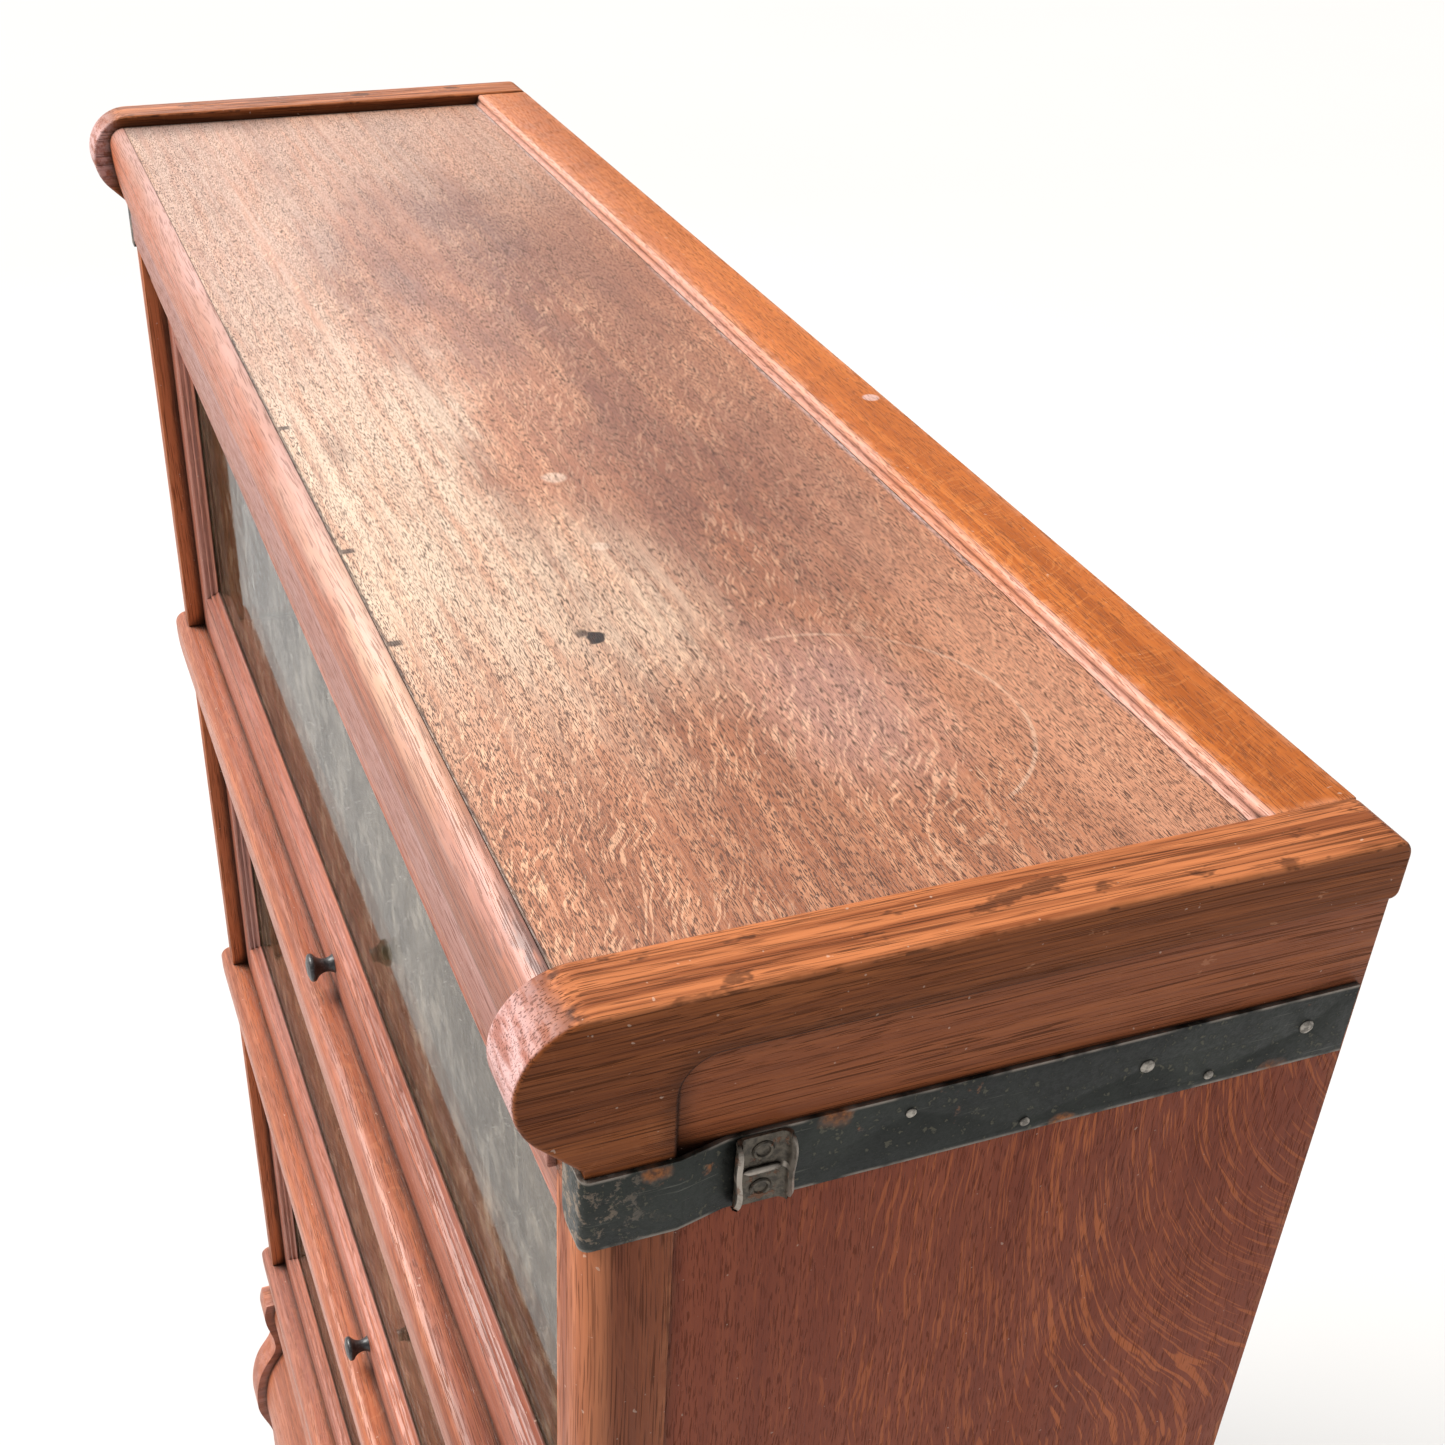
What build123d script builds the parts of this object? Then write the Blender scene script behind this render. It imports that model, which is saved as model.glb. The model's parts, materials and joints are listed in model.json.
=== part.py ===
from build123d import *
import os

# Stacking glazed bookcase: moulded base, three sections with lift-and-slide doors, top unit.
# X runs along the width, Y from the front to the back, Z up. The origin is on the floor,
# in the middle of the footprint. A depth d is measured forwards from the back of the case.
width = 864
foot_depth = 276            # back to the crest of the base moulding, the deepest point
side_depth = 246            # back to the front of the posts
nose_depth = 265            # back to the nose of the top ends
base_height = 240
section_heights = [342, 298, 314]     # bottom to top
top_height = 72

end_thick = 24              # top ends and base ends
relief = 3.5                # step between the proud front posts and the recessed sides
post_depth = 26
post_round = 10
rear_round = 6              # top rear corner of the top ends
arris = 1.6                 # worn edges of the top ends
side_inner = 410            # half the clear width between the side panels
post_inner = 408            # half the clear width between the posts
shelf_thick = 18
shelf_drop = 3              # shelf top below the top of its front rail
rail_height = 50
rail_nose = 252
back_thick = 8
back_inset = 4
header_height = 24
header_front = 242
header_thick = 24

door_front = 235
door_thick = 20
door_half = 406.5
door_gap = 1                # above the shelf rail and below the header
stile_flat = 24
top_flat = 26
bottom_flat = 30
sticking = 12               # width of the bead moulding round the glass
glass_set = 8               # glass behind the front face of the frame
glass_thick = 3
rebate = 8
knob_rise = 17
knob_projection = 14

pin_radius = 3
pin_clearance = 0.05
pin_depth = 9               # length of a pin inside its stile
shoe_length = 14
shoe_height = 8
shoe_thick = 6
groove_clearance = 0.3
slide_travel = [200, 165, 180]        # bottom to top

panel_drop = 6              # top panel below the top of its ends
panel_thick = 18
back_board = 30
board_drop = 1              # back board's top below the top of the ends
board_thick = 28
bead_width = 4
back_rail = 22              # front of the rails at the back of the top and base
rear_gap = 2                # back board and rails stand in from the back of the ends
rail_rear = 222             # back of the rail under the front of the top
strip_face = 248.5          # back to the face of the strip along the foot of that rail
apron_rear = 228
apron_inset = 8             # base board behind the front of the base ends

band_height = 26
band_thick = 1.5
band_drop = 8               # how far a band laps below its joint
band_turn = 1.5             # bend of the top bands, tighter than the post's round corner
jog_depth = 205             # where the top bands step out towards the posts
tab_round = 5
clip_depth = 195            # distance of a clip's middle from the back

half = width / 2
back = foot_depth / 2
height = base_height + sum(section_heights) + top_height
top_joint = height - top_height
board_low = height - board_drop - board_thick
post_back = side_depth - post_depth
side_outer = half - relief
tab_inner = half - post_round - 4     # where the tabs of the top bands end

nail_spots = [(18, 6, 2.4), (73, 6, 2.4), (50, -4, 1.6), (112, -4, 1.6), (150, 11, 1.6)]
nail_radius = 1.0
nail_length = 10
joints = [base_height]
for section_height in section_heights:
    joints.append(joints[-1] + section_height)

os.makedirs("parts", exist_ok=True)


def at(depth):
    """Y of a point that stands this far in front of the back of the case."""
    return back - depth


def save(piece, name):
    piece.part.label = name
    export_step(piece.part, "parts/" + name + ".step")


def low_x(side, a, b):
    """Lower X of the span between two distances from the middle, on side -1 or 1."""
    return min(side * a, side * b)


def board(x0, x1, d0, d1, z0, z1, ease=1.0):
    """Rectangular board between two Xs, two depths and two heights, its edges eased."""
    with BuildPart() as piece:
        with BuildSketch(Plane.XY.offset(z0)):
            with Locations(((x0 + x1) / 2, (at(d0) + at(d1)) / 2)):
                Rectangle(x1 - x0, d1 - d0)
        extrude(amount=z1 - z0)
        if ease:
            long_axis = Axis.X if x1 - x0 > z1 - z0 else Axis.Z
            fillet(piece.edges().filter_by(long_axis), ease)
    return piece


def side_name(side):
    return "left" if side < 0 else "right"


# ---------------------------------------------------------------- top unit

def top_end(side):
    """Solid end with a full round nose, its lower rear face cut back to the line of the sides."""
    nose = 23.5
    corner = nose_depth - nose
    low_line = 21                       # top of the recessed face, below the top edge
    turn = 12
    tangent = nose * 0.7071
    nails = nail_holes(side, top_joint)
    with BuildPart() as piece:
        with BuildSketch(Plane.YZ.offset(low_x(side, half, half - end_thick))):
            with BuildLine():
                Line((at(0), top_joint), (at(0), height))
                Line((at(0), height), (at(corner), height))
                low = (at(corner + tangent), height - nose - tangent)
                ThreePointArc((at(corner), height), (at(nose_depth), height - nose), low)
                shin = low[1] - (corner + tangent - side_depth)
                Line(low, (at(side_depth), shin))
                Line((at(side_depth), shin), (at(side_depth), top_joint))
                Line((at(side_depth), top_joint), (at(0), top_joint))
            make_face()
        extrude(amount=end_thick)
        # the lower front corner is rounded like the post below it
        with BuildSketch(Plane.XY.offset(top_joint)):
            with Locations((side * (half - post_round / 2), at(side_depth - post_round / 2))):
                Rectangle(post_round, post_round)
            with Locations((side * (half - post_round), at(side_depth - post_round))):
                Circle(post_round, mode=Mode.SUBTRACT)
        extrude(amount=band_height - band_drop, mode=Mode.SUBTRACT)
        # recessed face
        with BuildSketch(Plane.YZ.offset(low_x(side, half, side_outer))):
            with Locations((at(post_back / 2), (top_joint + height - low_line) / 2)):
                Rectangle(post_back, top_height - low_line)
            upper = vertices().group_by(Axis.Y)[-1].sort_by(Axis.X)[0]
            fillet(upper, turn)
        extrude(amount=relief, mode=Mode.SUBTRACT)
        rear_edges = piece.edges().filter_by(Axis.X).group_by(Axis.Y)[-1]
        fillet(rear_edges.group_by(Axis.Z)[-1], rear_round)
        fillet(rear_edges.filter_by(lambda e: e.length < end_thick / 2), relief - 0.5)
        nose_edges = piece.edges().filter_by(GeomType.CIRCLE).filter_by(
            lambda e: e.radius == nose)
        top_edges = piece.edges().filter_by(Axis.Y).group_by(Axis.Z)[-1]
        fillet(nose_edges + top_edges, arris)
        add(nails, mode=Mode.SUBTRACT)
    return piece


def top_front_rail():
    """Nosed rail under the front edge of the top panel, with a flat strip along its foot."""
    lip = height - panel_drop
    crest = 255
    with BuildPart() as piece:
        with BuildSketch(Plane.YZ.offset(-post_inner)):
            with BuildLine():
                Line((at(side_depth), lip - panel_thick), (at(side_depth), lip))
                ThreePointArc((at(side_depth), lip), (at(252.4), lip - 2.8), (at(crest), lip - 9.5))
                ThreePointArc((at(crest), lip - 9.5), (at(253.8), lip - 26), (at(251), lip - 40))
                Line((at(251), lip - 40), (at(strip_face), lip - 41.5))
                Line((at(strip_face), lip - 41.5), (at(strip_face), top_joint))
                Line((at(strip_face), top_joint), (at(rail_rear), top_joint))
                Line((at(rail_rear), top_joint), (at(rail_rear), lip - panel_thick))
                Line((at(rail_rear), lip - panel_thick), (at(side_depth), lip - panel_thick))
            make_face()
        extrude(amount=2 * post_inner)
    return piece


def top_bead():
    """Small ogee strip between the top panel and the back board."""
    foot = height - panel_drop
    tail = foot - panel_thick
    with BuildPart() as piece:
        with BuildSketch(Plane.YZ.offset(-post_inner)):
            with BuildLine():
                Line((at(back_board), tail), (at(back_board), foot + 5))
                Line((at(back_board), foot + 5), (at(back_board + 0.6), foot + 5))
                ThreePointArc((at(back_board + 0.6), foot + 5), (at(back_board + 2.3), foot + 3.6),
                              (at(back_board + 2.4), foot + 2))
                ThreePointArc((at(back_board + 2.4), foot + 2), (at(back_board + 3), foot + 0.7),
                              (at(back_board + bead_width), foot))
                Line((at(back_board + bead_width), foot), (at(back_board + bead_width), tail))
                Line((at(back_board + bead_width), tail), (at(back_board), tail))
            make_face()
        extrude(amount=2 * post_inner)
    return piece


# ---------------------------------------------------------------- base

def base_profile(inset):
    """Moulded front of the base: top of the plinth, large bulge, neck, small bulge and top."""
    depths = [264, foot_depth, 264, 253, 259, 256]
    heights = [52, 110, 162, 186, 224, base_height]
    return [(at(depth - inset), z) for depth, z in zip(depths, heights)]


def base_board(x0, thick, inset, rear):
    with BuildPart() as piece:
        points = base_profile(inset)
        with BuildSketch(Plane.YZ.offset(x0)):
            with BuildLine():
                Line((at(rear), 0), (points[0][0], 0))
                Line((points[0][0], 0), points[0])
                Spline(points, tangents=[(0, 1), (0, 1), (0.6, 1), (0, 1), (0, 1), (0.3, 1)])
                Line(points[-1], (at(rear), base_height))
                Line((at(rear), base_height), (at(rear), 0))
            make_face()
        extrude(amount=thick)
    return piece


def base_end(side):
    core = base_board(low_x(side, half, half - end_thick), end_thick, 0, 0)
    nails = nail_holes(side, base_height)
    with BuildPart() as piece:
        add(core.part)
        with BuildSketch(Plane.YZ.offset(low_x(side, half, side_outer))):
            with Locations((at(post_back / 2), base_height / 2)):
                Rectangle(post_back, base_height)
        extrude(amount=relief, mode=Mode.SUBTRACT)
        add(nails, mode=Mode.SUBTRACT)
    return piece


# ---------------------------------------------------------------- metal joint bands

def nail_holes(side, joint):
    """The space that a band's nails take, to be cut from the wood and the band."""
    with BuildPart() as cutter:
        for depth, rise, head in nail_spots:
            hole = Plane(origin=(side * (side_outer + band_thick), at(depth), joint + rise),
                         z_dir=(side, 0, 0))
            with BuildSketch(hole):
                Circle(nail_radius)
            extrude(amount=-nail_length)
    return cutter.part


def joint_bands():
    """Steel strips over the joints, one on each side. The top pair turns round the posts."""
    bend = band_turn + band_thick
    nails = [nail_holes(side, joint) for joint in joints for side in (-1, 1)]
    with BuildPart() as piece:
        for joint in joints:
            for side in (-1, 1):
                top_pair = joint == joints[-1]
                with BuildSketch(Plane.XY.offset(joint - band_drop)):
                    inner = side * side_outer
                    outer = side * (side_outer + band_thick)
                    with BuildLine():
                        if top_pair:
                            proud = side * half
                            crest = side * (half + band_thick)
                            tab = side * tab_inner
                            Polyline((inner, at(2)), (inner, at(jog_depth)), (proud, at(post_back)),
                                     (proud, at(side_depth - band_turn)))
                            RadiusArc((proud, at(side_depth - band_turn)),
                                      (side * (half - band_turn), at(side_depth)),
                                      side * band_turn)
                            Polyline((side * (half - band_turn), at(side_depth)),
                                     (tab, at(side_depth)), (tab, at(side_depth + band_thick)),
                                     (side * (half - band_turn), at(side_depth + band_thick)))
                            RadiusArc((side * (half - band_turn), at(side_depth + band_thick)),
                                      (crest, at(side_depth - band_turn)), -side * bend)
                            Polyline((crest, at(side_depth - band_turn)), (crest, at(post_back)),
                                     (outer, at(jog_depth)), (outer, at(2)), (inner, at(2)))
                        else:
                            Polyline((inner, at(2)), (inner, at(post_back - 4)),
                                     (outer, at(post_back - 4)), (outer, at(2)), close=True)
                    make_face()
                extrude(amount=band_height)
        tab_ends = piece.edges().filter_by(Axis.Y).filter_by(
            lambda e: abs(abs(e.center().X) - tab_inner) < band_thick)
        fillet(tab_ends, tab_round)
        add(nails, mode=Mode.SUBTRACT)
    return piece


def joint_clips():
    """Pressed U clips on the bands: two flanges stand out from a plate with two holes and a bar."""
    plate = (15, band_height - 1)
    flange = 6
    with BuildPart() as piece:
        for joint in joints:
            for side in (-1, 1):
                middle = joint - band_drop + band_height / 2
                face = Plane(origin=(side * (side_outer + band_thick), at(clip_depth), middle),
                             x_dir=(0, side, 0), z_dir=(side, 0, 0))
                with BuildSketch(face):
                    Rectangle(*plate)
                    with Locations((0, -7), (0, 7)):
                        Circle(2.4, mode=Mode.SUBTRACT)
                extrude(amount=1)
                with BuildSketch(face):
                    with Locations((-plate[0] / 2, 0), (plate[0] / 2, 0)):
                        Rectangle(1.6, plate[1])
                extrude(amount=flange)
                with BuildSketch(face):
                    SlotOverall(10, 2.2)
                extrude(amount=2.4)
    return piece


def band_nails():
    """Domed nails through the bands into the wood."""
    with BuildPart() as piece:
        for joint in joints:
            for side in (-1, 1):
                for depth, rise, head in nail_spots:
                    seat = Plane(origin=(side * (side_outer + band_thick), at(depth), joint + rise),
                                 z_dir=(side, 0, 0))
                    with BuildSketch(seat):
                        Circle(head)
                    extrude(amount=0.9, taper=30)
                    with BuildSketch(seat):
                        Circle(nail_radius)
                    extrude(amount=-nail_length)
    return piece


# ---------------------------------------------------------------- sections

def pin_groove(side, axis_z, travel):
    """The track of a door's shoe, to be cut from the post and the side panel."""
    depth = door_front - door_thick / 2
    front = depth + shoe_length / 2 + groove_clearance
    rear = depth - travel - shoe_length / 2 - groove_clearance
    deep = side_inner + shoe_thick
    with BuildPart() as cutter:
        with BuildSketch(Plane.YZ.offset(low_x(side, post_inner - 2, deep))):
            with Locations((at((front + rear) / 2), axis_z)):
                Rectangle(front - rear, shoe_height + 2 * groove_clearance)
        extrude(amount=deep - post_inner + 2)
    return cutter.part


def section_side(side, bottom, top, axis_z, travel):
    cuts = [pin_groove(side, axis_z, travel), nail_holes(side, top), nail_holes(side, bottom)]
    with BuildPart() as piece:
        with BuildSketch(Plane.XY.offset(bottom)):
            with Locations((side * (side_inner + side_outer) / 2, at(post_back / 2))):
                Rectangle(side_outer - side_inner, post_back)
        extrude(amount=top - bottom)
        add(cuts, mode=Mode.SUBTRACT)
    return piece


def section_post(side, foot, top, axis_z, travel):
    """Proud front post with a broad round on its outer corner."""
    groove = pin_groove(side, axis_z, travel)
    with BuildPart() as piece:
        with BuildSketch(Plane.XY.offset(foot)):
            with Locations((side * (post_inner + half) / 2, at(side_depth - post_depth / 2))):
                Rectangle(half - post_inner, post_depth)
            front_corners = vertices().group_by(Axis.Y)[0].sort_by(Axis.X)
            fillet(front_corners[-1 if side > 0 else 0], post_round)
        extrude(amount=top - foot)
        add(groove, mode=Mode.SUBTRACT)
    return piece


def shelf_rail(bottom):
    """Front rail across the foot of a section, nosed at the top and tapering back below."""
    top = bottom + rail_height
    with BuildPart() as piece:
        with BuildSketch(Plane.YZ.offset(-half)):
            with BuildLine():
                Line((at(post_back), bottom), (at(post_back), top))
                Line((at(post_back), top), (at(rail_nose - 8), top))
                ThreePointArc((at(rail_nose - 8), top), (at(rail_nose - 2.3), top - 2.3),
                              (at(rail_nose), top - 8))
                ThreePointArc((at(rail_nose), top - 8), (at(rail_nose - 1), top - 28),
                              (at(side_depth + 0.5), bottom))
                Line((at(side_depth + 0.5), bottom), (at(post_back), bottom))
            make_face()
        extrude(amount=width)
    return piece


# ---------------------------------------------------------------- doors

def sticking_profile():
    """Section through the moulding, in millimetres inwards from the flat and back from the face."""
    with BuildLine() as line:
        Line((0, door_thick), (0, 1.2))
        ThreePointArc((0, 1.2), (2, 0), (4, 1.4))
        Line((4, 1.4), (4.8, 3.2))
        ThreePointArc((4.8, 3.2), (6.9, 3), (8, 4.6))
        Line((8, 4.6), (8.6, 5.6))
        Line((8.6, 5.6), (sticking, 6.8))
        Line((sticking, 6.8), (sticking, glass_set))
        Line((sticking, glass_set), (sticking - rebate, glass_set))
        Line((sticking - rebate, glass_set), (sticking - rebate, door_thick))
        Line((sticking - rebate, door_thick), (0, door_thick))
    return line


def rail_piece(low, high, inner_up, axis_z=None):
    """Rail of a door. Its moulded inner edge is mitred into the stiles."""
    reach = door_half - stile_flat
    edge = high if inner_up else low
    away = 1 if inner_up else -1
    # the profile plane looks along X: its x axis runs inwards and its y axis to the back
    frame = Plane(origin=(-reach, at(door_front), edge), x_dir=(0, 0, away),
                  z_dir=(-away, 0, 0))
    with BuildPart() as piece:
        with BuildSketch(frame):
            add(sticking_profile().line)
            make_face()
        extrude(amount=-away * 2 * reach)
        with BuildSketch(Plane.XZ.offset(-at(door_front) - door_thick - 1)):
            with BuildLine():
                Polyline((-reach, edge), (reach, edge),
                         (reach - sticking, edge + away * sticking),
                         (-reach + sticking, edge + away * sticking), close=True)
            make_face()
        extrude(amount=door_thick + 2, mode=Mode.INTERSECT)
        with BuildSketch(Plane.YZ.offset(-reach)):
            door_flat(low, high, axis_z)
        extrude(amount=2 * reach)
    return piece


def door_flat(low, high, axis_z):
    """Side outline of a door member. A member that turns on the pins has a round top."""
    middle = at(door_front - door_thick / 2)
    top = axis_z if axis_z else high
    with Locations((middle, (low + top) / 2)):
        Rectangle(door_thick, top - low)
    if axis_z:
        with Locations((middle, axis_z)):
            Circle(door_thick / 2)


def stile_piece(side, low, axis_z, inner_low, inner_high):
    """Stile of a door, with a round top end and a blind hole for its pivot pin."""
    reach = door_half - stile_flat
    frame = Plane(origin=(side * reach, at(door_front), inner_low), x_dir=(-side, 0, 0),
                  z_dir=(0, 0, -side))
    tall = inner_high - inner_low
    with BuildPart() as piece:
        with BuildSketch(frame):
            add(sticking_profile().line)
            make_face()
        extrude(amount=-side * tall)
        with BuildSketch(Plane.XZ.offset(-at(door_front) - door_thick - 1)):
            with BuildLine():
                Polyline((side * reach, inner_low), (side * reach, inner_high),
                         (side * (reach - sticking), inner_high - sticking),
                         (side * (reach - sticking), inner_low + sticking), close=True)
            make_face()
        extrude(amount=door_thick + 2, mode=Mode.INTERSECT)
        with BuildSketch(Plane.YZ.offset(low_x(side, door_half, reach))):
            door_flat(low, 0, axis_z)
        extrude(amount=stile_flat)
        hole = Plane(origin=(side * door_half, at(door_front - door_thick / 2), axis_z),
                     z_dir=(side, 0, 0))
        with BuildSketch(hole):
            Circle(pin_radius + pin_clearance)
        extrude(amount=-pin_depth - 0.5, mode=Mode.SUBTRACT)
    return piece


def door_pins(axis_z):
    """Two steel pins, each with the square shoe that runs in the groove of its side."""
    with BuildPart() as piece:
        for side in (-1, 1):
            shoe_face = side_inner - 0.5
            seat = Plane(origin=(side * shoe_face, at(door_front - door_thick / 2), axis_z),
                         x_dir=(0, side, 0), z_dir=(side, 0, 0))
            with BuildSketch(seat):
                Rectangle(shoe_length, shoe_height)
            extrude(amount=shoe_thick)
            with BuildSketch(seat):
                Circle(pin_radius)
            extrude(amount=-(shoe_face - door_half + pin_depth))
    return piece


def door_knob(z):
    """Small turned knob with a flared foot, a waist and a flat round head."""
    with BuildPart() as piece:
        with BuildSketch(Plane.YZ):
            face = at(door_front)
            tip = face - knob_projection
            with BuildLine():
                Line((face, z), (face, z + 5.2))
                ThreePointArc((face, z + 5.2), (face - 4.5, z + 3.6), (tip + 4.2, z + 6.6))
                ThreePointArc((tip + 4.2, z + 6.6), (tip + 2.4, z + 7.4), (tip + 0.7, z + 5.8))
                Line((tip + 0.7, z + 5.8), (tip, z + 3.5))
                Line((tip, z + 3.5), (tip, z))
                Line((tip, z), (face, z))
            make_face()
        revolve(axis=Axis((0, 0, z), (0, 1, 0)))
    return piece


# ---------------------------------------------------------------- build every piece

for side in (-1, 1):
    save(top_end(side), "top_end_" + side_name(side))
    save(base_end(side), "base_end_" + side_name(side))
save(board(-post_inner, post_inner, back_board + bead_width, side_depth,
           height - panel_drop - panel_thick, height - panel_drop, 0), "top_panel")
save(top_front_rail(), "top_front_rail")
save(board(-post_inner, post_inner, rear_gap, back_board, board_low, height - board_drop, 0),
     "top_back_board")
save(board(-post_inner, post_inner, 2 * rear_gap, back_rail, top_joint, board_low, 0), "top_back_rail")
save(top_bead(), "top_bead")
save(base_board(-post_inner, 2 * post_inner, apron_inset, apron_rear), "base_apron")
save(board(-post_inner, post_inner, rear_gap, back_rail, 0, base_height), "base_back_rail")
save(joint_bands(), "joint_bands")
save(joint_clips(), "joint_clips")
save(band_nails(), "band_nails")

for number, section_height in enumerate(section_heights):
    tag = str(len(section_heights) - number)
    bottom = joints[number]
    top = joints[number + 1]
    foot = bottom + rail_height
    axis_z = top - header_height - door_gap - door_thick / 2
    travel = slide_travel[number]
    door_low = foot + door_gap
    door_high = axis_z + door_thick / 2
    inner_low = door_low + bottom_flat
    inner_high = door_high - top_flat
    for side in (-1, 1):
        name = side_name(side)
        save(section_side(side, bottom, top, axis_z, travel), "side_" + name + "_" + tag)
        save(section_post(side, foot, top, axis_z, travel), "post_" + name + "_" + tag)
        save(stile_piece(side, door_low, axis_z, inner_low, inner_high),
             "door_stile_" + name + "_" + tag)
    save(shelf_rail(bottom), "shelf_rail_" + tag)
    shelf_top = foot - shelf_drop
    save(board(-side_inner, side_inner, back_inset + back_thick, post_back,
               shelf_top - shelf_thick, shelf_top), "shelf_" + tag)
    save(board(-side_inner, side_inner, back_inset, back_inset + back_thick, bottom, top, 0),
         "back_panel_" + tag)
    save(board(-post_inner, post_inner, header_front - header_thick, header_front,
               top - header_height, top), "header_" + tag)
    save(rail_piece(door_low, inner_low, True), "door_bottom_rail_" + tag)
    save(rail_piece(inner_high, door_high, False, axis_z), "door_top_rail_" + tag)
    pane = sticking - rebate + 0.5
    pane_half = door_half - stile_flat - pane
    save(board(-pane_half, pane_half, door_front - glass_set - glass_thick,
               door_front - glass_set, inner_low + pane, inner_high - pane, 0), "door_glass_" + tag)
    save(door_knob(door_low - door_gap + knob_rise), "door_knob_" + tag)
    save(door_pins(axis_z), "door_pins_" + tag)
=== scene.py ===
import json
import math

import bmesh
import bpy
from mathutils import Matrix, Vector, noise


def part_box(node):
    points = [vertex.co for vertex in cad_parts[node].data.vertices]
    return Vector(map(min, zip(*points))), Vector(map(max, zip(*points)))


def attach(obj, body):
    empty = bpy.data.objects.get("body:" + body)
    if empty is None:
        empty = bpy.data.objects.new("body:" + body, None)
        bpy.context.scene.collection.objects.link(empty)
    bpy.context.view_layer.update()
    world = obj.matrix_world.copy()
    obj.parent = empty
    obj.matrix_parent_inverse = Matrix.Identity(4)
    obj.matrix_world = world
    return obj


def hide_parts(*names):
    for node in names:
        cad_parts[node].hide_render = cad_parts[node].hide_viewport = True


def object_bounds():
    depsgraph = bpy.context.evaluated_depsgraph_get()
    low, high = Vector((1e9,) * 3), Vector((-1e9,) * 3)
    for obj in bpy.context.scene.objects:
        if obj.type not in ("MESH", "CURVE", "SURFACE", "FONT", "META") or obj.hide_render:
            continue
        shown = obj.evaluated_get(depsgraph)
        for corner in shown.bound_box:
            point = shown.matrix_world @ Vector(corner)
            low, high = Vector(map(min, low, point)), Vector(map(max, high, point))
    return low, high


# Stacking glazed oak bookcase, seen from above its right end. X runs along the width, Y to the back,
# Z up. Lengths are in metres. Colours are given as they look on screen, 0 to 255.
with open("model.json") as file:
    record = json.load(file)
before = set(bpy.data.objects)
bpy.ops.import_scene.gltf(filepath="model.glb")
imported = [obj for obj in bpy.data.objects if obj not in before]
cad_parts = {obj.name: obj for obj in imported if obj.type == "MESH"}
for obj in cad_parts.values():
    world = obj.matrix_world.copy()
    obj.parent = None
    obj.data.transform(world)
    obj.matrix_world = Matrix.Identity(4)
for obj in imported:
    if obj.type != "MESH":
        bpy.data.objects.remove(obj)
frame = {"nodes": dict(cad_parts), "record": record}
cad_low, cad_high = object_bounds()

NODES = frame["nodes"]
RECORD = frame["record"]
BODY_OF = {n: b for b, members in RECORD["behaviour"]["bodies"].items() for n in members}
SLOT_OF = {p["node"]: p["material_slot"] for p in RECORD["subparts"]}
MM = 0.001

TOP = cad_high.z
PANEL_TOP = TOP - 6 * MM                # upper face of the top panel
QUIRK = PANEL_TOP - 41 * MM             # groove under the roll of the front rail
TOP_JOINT = TOP - 72 * MM               # underside of the top unit
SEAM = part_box("top_panel")[0].y         # where the front rail meets the panel
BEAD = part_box("top_panel")[1].y         # where the bead meets the panel
STEP_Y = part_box("side_right_1")[0].y    # front of the recessed face of a top end
STEP_Z = TOP - 21 * MM                  # top of that face
STEP_TURN = 12 * MM                     # radius of its corner

# Axis orders that bring an object's X, Y and Z to (along the grain, across it, through the board).
GRAIN = {"x": "XYZ", "y": "YXZ", "z": "ZYX", "xz": "XZY", "zx": "ZXY"}


def srgb(r, g, b):
    """A colour as it looks on screen, turned into the linear values that shaders take."""
    def linear(v):
        v /= 255
        return v / 12.92 if v <= 0.04045 else ((v + 0.055) / 1.055) ** 2.4
    return (linear(r), linear(g), linear(b), 1.0)


# ---------------------------------------------------------------- shader graphs

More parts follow.
